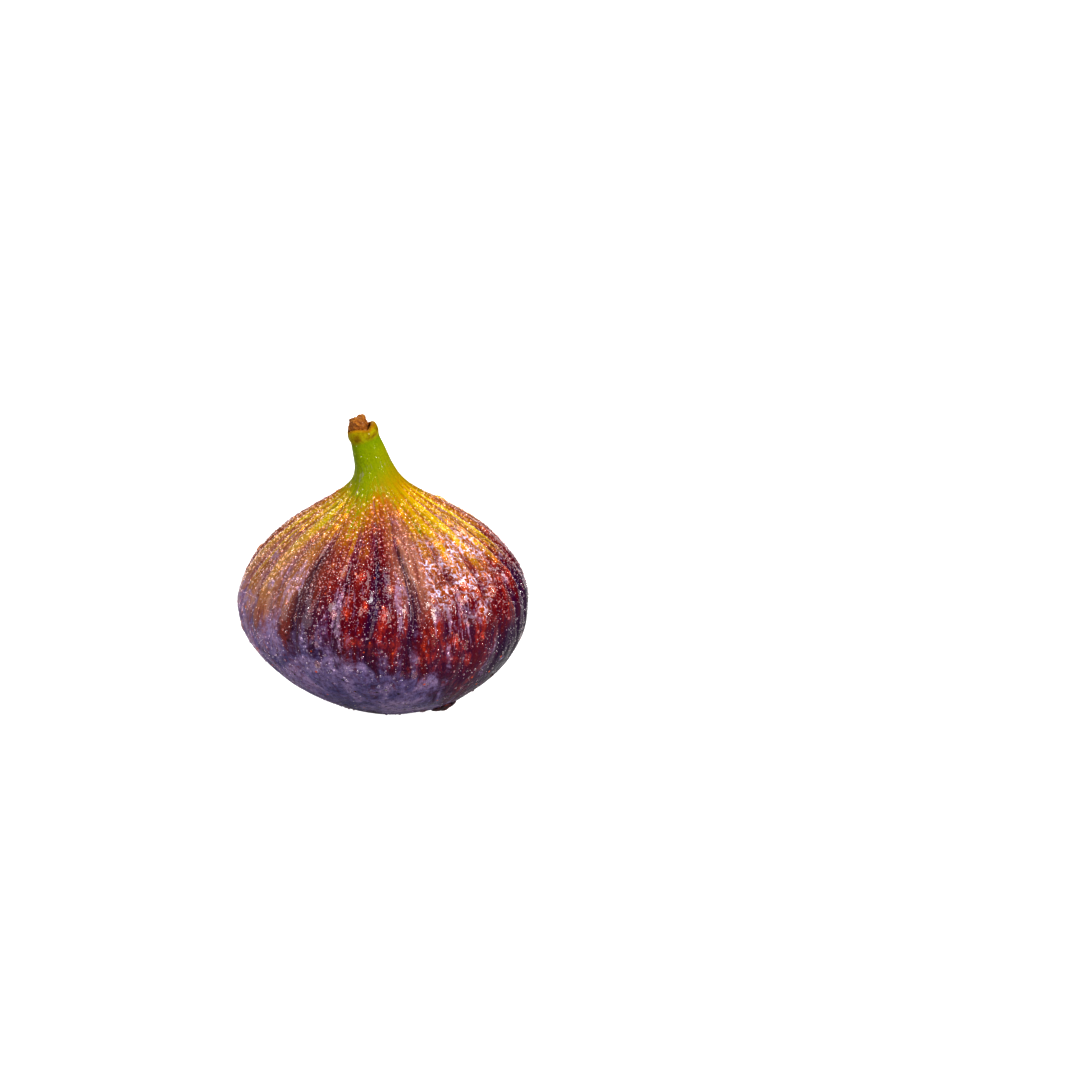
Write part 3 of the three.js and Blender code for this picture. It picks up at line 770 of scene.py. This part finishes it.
def eyeMesh():
    place, outward = eyePlace()
    place.z -= eye["swell"]
    tree = scaleTree(eyeBract())
    seed = newObject("seed", bpy.data.meshes.new("seed"))
    joined = bmesh.new()
    for layer, ring in enumerate(eye["rings"]):
        sizes = {label: value if label in ("Count", "Tilt") else value * mm for label, value in ring.items()}
        sizes["Turned"] = 0.5 * layer / ring["Count"] * fullTurn
        mesh = runTree(seed, tree, sizes)
        joined.from_mesh(mesh)
    bpy.data.objects.remove(seed)
    joined.transform(Matrix.Translation(place * mm) @ outward.to_track_quat("Z", "Y").to_matrix().to_4x4())
    joined.to_mesh(mesh)
    joined.free()
    return mesh


scales = eyeMesh()
finishPiece(newObject("fig_eye", scales), scales, "fruit")


# The stalk's torn end

stalk = {
    "radius": 1.9, "foot": 56.2, "top": 59.4, "sides": 72, "rows": 46,
    "rings": [(0, 0), (0.92, 0), (0.97, 0.25), (1, 0.5), (0.98, 0.72), (0.84, 0.92), (0.5, 1), (0, 0.93)],
    "tear": [(1, 2.4, 0, 0.5), (3, 0, 0, 0.35)],  # waves of its top
    "knots": [(7, 0, 3, 0.03), (4, 0, 0, 0.03)],  # and of its side, as a share of the radius
    "crumb": 1.1,  # both how wide and how deep its crumbs are
    "colours": [(0.32, "#5A2E04"), (0.45, "#96580E"), (0.58, "#B4741C"), (0.72, "#C8923C")],
}


def stalkBark():
    # Torn fig stalk: bark and pith fibres broken by hand. Crumbly orange brown, rough, darker in its cracks.
    material, tree, coords = newMaterial("stalkTorn")
    crumbs = add(tree, "ShaderNodeTexNoise", {
        "Vector": coords, "Scale": perMetre(0.62), "Detail": 6.0, "Roughness": 0.7})
    colour = add(tree, "ShaderNodeValToRGB", {"Fac": crumbs}, stops=stalk["colours"])
    bump = add(tree, "ShaderNodeBump", {"Height": crumbs, "Strength": 0.9, "Distance": 0.6 * mm})
    shader = add(tree, "ShaderNodeBsdfPrincipled", {
        "Base Color": colour, "Roughness": 0.75, "Normal": bump,
        "Coat Weight": 0.2, "Coat Roughness": 0.2})
    add(tree, "ShaderNodeOutputMaterial", {"Surface": shader})
    return material


def stumpMesh():
    rings = np.array(stalk["rings"], float)
    share, level = alongSpline(rings, np.linspace(0, len(rings) - 1, stalk["rows"])).T
    share, level = np.maximum(share, 0)[:, None], level[:, None]
    angle = (np.arange(stalk["sides"]) / stalk["sides"] * fullTurn)[None, :]
    tear = level ** 2 * share * waves(stalk["tear"], angle, level)
    height = stalk["foot"] + (stalk["top"] - stalk["foot"]) * level + tear
    lean, tilt = axisAt(height)
    radius = stalk["radius"] * share * (1 + waves(stalk["knots"], angle, level))
    along = radius * np.cos(angle) + collar["socketShift"]
    position = np.stack([lean + along * np.cos(tilt), radius * np.sin(angle),
                         height + along * np.sin(tilt)], axis=2)
    return gridMesh("stump", position * mm)


def crumbleTree(material):  # breaks the stump's surface into crumbs and fibres
    tree, given = newTree("crumble", {
        "Crumbs per metre": ("NodeSocketFloat", 900.0), "Crumb height": ("NodeSocketFloat", 0.0004)})
    position = add(tree, "GeometryNodeInputPosition")
    normal = add(tree, "GeometryNodeInputNormal")
    crumbs = add(tree, "ShaderNodeTexNoise", {
        "Vector": position, "Scale": given["Crumbs per metre"], "Detail": 4.0})
    centred = add(tree, "ShaderNodeMath", {0: crumbs, 1: -0.5}, operation="ADD")
    amount = add(tree, "ShaderNodeMath", {0: centred, 1: given["Crumb height"]}, operation="MULTIPLY")
    offset = add(tree, "ShaderNodeVectorMath", {0: normal, "Scale": amount}, operation="SCALE")
    moved = add(tree, "GeometryNodeSetPosition", {"Geometry": given["Geometry"], "Offset": offset})
    closeTree(tree, moved, material)
    return tree


stalkPiece = newObject("fig_stalk", stumpMesh())
crumbled = runTree(stalkPiece, crumbleTree(stalkBark()), {
    "Crumbs per metre": perMetre(stalk["crumb"]), "Crumb height": stalk["crumb"] * mm})
finishPiece(stalkPiece, crumbled, "stalk")


# The water: a fine spray, beads, and a few drops about to run

water = {
    "fig_spray": {"Spacing": 0.32, "Density": 3.0, "Smallest": 0.06, "Largest": 0.16, "Stretch": 1.0,
                  "Flatness": 0.9, "Roundness": 1, "Seed": 3, "Gather": "spray",
                  "clear": 0.7, "roughness": 0.06, "ior": 1.5, "tint": "#FFF4F8"},
    "fig_beads": {"Spacing": 0.7, "Density": 1.2, "Smallest": 0.15, "Largest": 0.34, "Stretch": 1.15,
                  "Flatness": 0.75, "Roundness": 1, "Seed": 8, "Gather": "spray",
                  "clear": 0.85, "roughness": 0.03, "ior": 1.4, "tint": "#FFF2F2"},
    "fig_drops": {"Spacing": 1.7, "Density": 0.16, "Smallest": 0.3, "Largest": 0.8, "Stretch": 1.6,
                  "Flatness": 0.45, "Roundness": 3, "Seed": 5, "Gather": "drip",
                  "clear": 0.98, "roughness": 0.02, "ior": 1.333, "tint": "#FFE6C8"},
}


def rinseWater(name, look):
    # Rinse water: drops with a liquid's mirror skin. The big ones are clear, the finest a little milky.
    # The finest also mirror more than water does, for the light that a real droplet gathers.
    material, tree, _ = newMaterial(name + "Water")
    shader = add(tree, "ShaderNodeBsdfPrincipled", {
        "Base Color": hexToLinear(look["tint"]), "Roughness": look["roughness"], "IOR": look["ior"],
        "Specular IOR Level": 1.0, "Transmission Weight": look["clear"]})
    add(tree, "ShaderNodeOutputMaterial", {"Surface": shader})
    return material


def dropTree(material):  # scatters drops over the skin, more of them where the named attribute is high
    tree, given = newTree("drops", {
        "Spacing": ("NodeSocketFloat", 0.001), "Density": ("NodeSocketFloat", 100000.0),
        "Smallest": ("NodeSocketFloat", 0.0001), "Largest": ("NodeSocketFloat", 0.0003),
        "Stretch": ("NodeSocketFloat", 1.0), "Flatness": ("NodeSocketFloat", 0.6),
        "Roundness": ("NodeSocketInt", 1), "Seed": ("NodeSocketInt", 1),
        "Gather": ("NodeSocketString", "spray")})
    gather = add(tree, "GeometryNodeInputNamedAttribute", {"Name": given["Gather"]})
    climb = add(tree, "GeometryNodeInputNamedAttribute", {"Name": "climb"})
    onFruit = add(tree, "FunctionNodeCompare", {0: climb, 1: collar["base"]}, operation="LESS_THAN")
    points = add(tree, "GeometryNodeDistributePointsOnFaces", {
        "Mesh": given["Geometry"], "Selection": onFruit, "Distance Min": given["Spacing"],
        "Density Max": given["Density"], "Density Factor": gather, "Seed": given["Seed"]},
        distribute_method="POISSON")
    ball = add(tree, "GeometryNodeMeshIcoSphere", {"Radius": 1.0, "Subdivisions": given["Roundness"]})
    smooth = add(tree, "GeometryNodeSetShadeSmooth", {"Geometry": ball})
    hanging = add(tree, "FunctionNodeAlignRotationToVector", {
        "Rotation": points.outputs["Rotation"], "Vector": (0.0, 0.0, -1.0)}, axis="Y", pivot_axis="Z")
    size = add(tree, "FunctionNodeRandomValue", {
        "Min": given["Smallest"], "Max": given["Largest"], "Seed": given["Seed"]}, data_type="FLOAT")
    form = add(tree, "ShaderNodeCombineXYZ", {"X": 1.0, "Y": given["Stretch"], "Z": given["Flatness"]})
    scale = add(tree, "ShaderNodeVectorMath", {0: form, "Scale": size.outputs[1]}, operation="SCALE")
    drops = add(tree, "GeometryNodeInstanceOnPoints", {
        "Points": points.outputs["Points"], "Instance": smooth, "Rotation": hanging, "Scale": scale})
    closeTree(tree, drops, material)
    return tree


for name, look in water.items():
    sizes = {label: value for label, value in look.items() if label[0].isupper()}
    for label in ("Spacing", "Smallest", "Largest"):
        sizes[label] *= mm
    sizes["Density"] *= dropShare / mm ** 2
    drops = runTree(fruitPiece, dropTree(rinseWater(name, look)), sizes)
    piece = newObject(name, drops)
    piece.visible_shadow = False
    finishPiece(piece, drops)


# Studio

studio = {
    "elevation": math.radians(17), "distance": 0.6, "lens": 100.0,
    "lookRight": 31.4, "lookUp": 12.0,  # where the frame's middle lies from the fig's widest ring
    "floorReach": 6.0, "paper": "#C4C4C4",
    # How bright the white room and floor are to the camera, in reflections, and as light on the fig.
    "room": {"seen": 1.0, "mirrored": 0.075, "shining": 0.04},
    "floor": {"seen": 0.75, "mirrored": 0.08, "shining": 0.15},
    "throughWater": 0.45,  # how much of what the camera sees shows through a drop
    "boxes": {  # place, size, watts and colour of each soft box
        "boxRight": ((0.5, -0.3, 0.3), (0.12, 0.2), 2.5, (1.0, 0.99, 0.97)),
        "boxLeft": ((-0.6, -0.2, 0.22), (0.3, 0.4), 1.5, (0.95, 0.95, 1.0)),
        "boxTop": ((0.05, -0.25, 0.6), (0.2, 0.2), 1.45, (1.0, 1.0, 1.0)),
        "boxBack": ((-0.1, 0.6, 0.4), (0.4, 0.3), 1.6, (1.0, 1.0, 1.0)),
        "boxFront": ((0.0, -0.6, 0.42), (0.12, 0.16), 0.75, (1.0, 1.0, 1.0)),
    },
}


def makeCamera():
    forward = Vector((0, math.cos(studio["elevation"]), -math.sin(studio["elevation"])))
    upward = Vector((0, math.sin(studio["elevation"]), math.cos(studio["elevation"])))
    middle = Vector((-fruit["baseDrift"], 0, equatorHeight)) * mm
    target = middle + Vector((studio["lookRight"] * mm, 0, 0)) + upward * studio["lookUp"] * mm
    lens = bpy.data.cameras.new("camera")
    lens.lens = studio["lens"]
    lens.sensor_width = 36
    lens.clip_start = 0.01
    camera = newObject("camera", lens)
    camera.location = target - forward * studio["distance"]
    camera.rotation_euler = forward.to_track_quat("-Z", "Y").to_euler()
    scene.camera = camera


def softBox(name, place, size, watts, colour):
    lamp = bpy.data.lights.new(name, "AREA")
    lamp.shape = "RECTANGLE"
    lamp.size, lamp.size_y = size
    lamp.energy = watts
    lamp.color = colour
    box = newObject(name, lamp)
    box.location = place
    toFruit = Vector((0, 0, equatorHeight * mm)) - Vector(place)
    box.rotation_euler = toFruit.to_track_quat("-Z", "Y").to_euler()


def brightness(tree, levels):  # one level for what the camera sees, one for mirror images and one for light
    rays = add(tree, "ShaderNodeLightPath").outputs
    through = add(tree, "ShaderNodeMath", {0: rays["Is Transmission Ray"], 1: studio["throughWater"]},
                  operation="MULTIPLY")
    straight = add(tree, "ShaderNodeMath", {0: rays["Is Camera Ray"], 1: through}, operation="MAXIMUM")
    mirrored = add(tree, "ShaderNodeMath", {
        0: rays["Is Glossy Ray"], 1: levels["mirrored"] - levels["shining"], 2: levels["shining"]},
        operation="MULTIPLY_ADD")
    return add(tree, "ShaderNodeMix", {"Factor": straight, 2: mirrored, 3: levels["seen"]})


def makeFloor():
    side = studio["floorReach"]
    mesh = bpy.data.meshes.new("floor")
    corners = [(-side, -side, 0), (side, -side, 0), (side, side, 0), (-side, side, 0)]
    mesh.from_pydata(corners, [], [(0, 1, 2, 3)])
    floor = newObject("floor", mesh)
    material, tree, _ = newMaterial("paperWhite")  # lit background paper
    shader = add(tree, "ShaderNodeBsdfPrincipled", {
        "Base Color": hexToLinear(studio["paper"]), "Roughness": 0.8, "Specular IOR Level": 0.0,
        "Emission Color": (1, 1, 1, 1), "Emission Strength": brightness(tree, studio["floor"])})
    add(tree, "ShaderNodeOutputMaterial", {"Surface": shader})
    mesh.materials.append(material)


def makeRoom():
    world = bpy.data.worlds.new("studio")
    world.use_nodes = True
    tree = world.node_tree
    tree.nodes.clear()
    light = add(tree, "ShaderNodeBackground", {
        "Color": (1, 1, 1, 1), "Strength": brightness(tree, studio["room"])})
    add(tree, "ShaderNodeOutputWorld", {"Surface": light})
    scene.world = world


makeCamera()
makeFloor()
makeRoom()
for name, box in studio["boxes"].items():
    softBox(name, *box)
scene.view_settings.view_transform = "Standard"
scene.view_settings.look = "High Contrast"
print("studio ready")
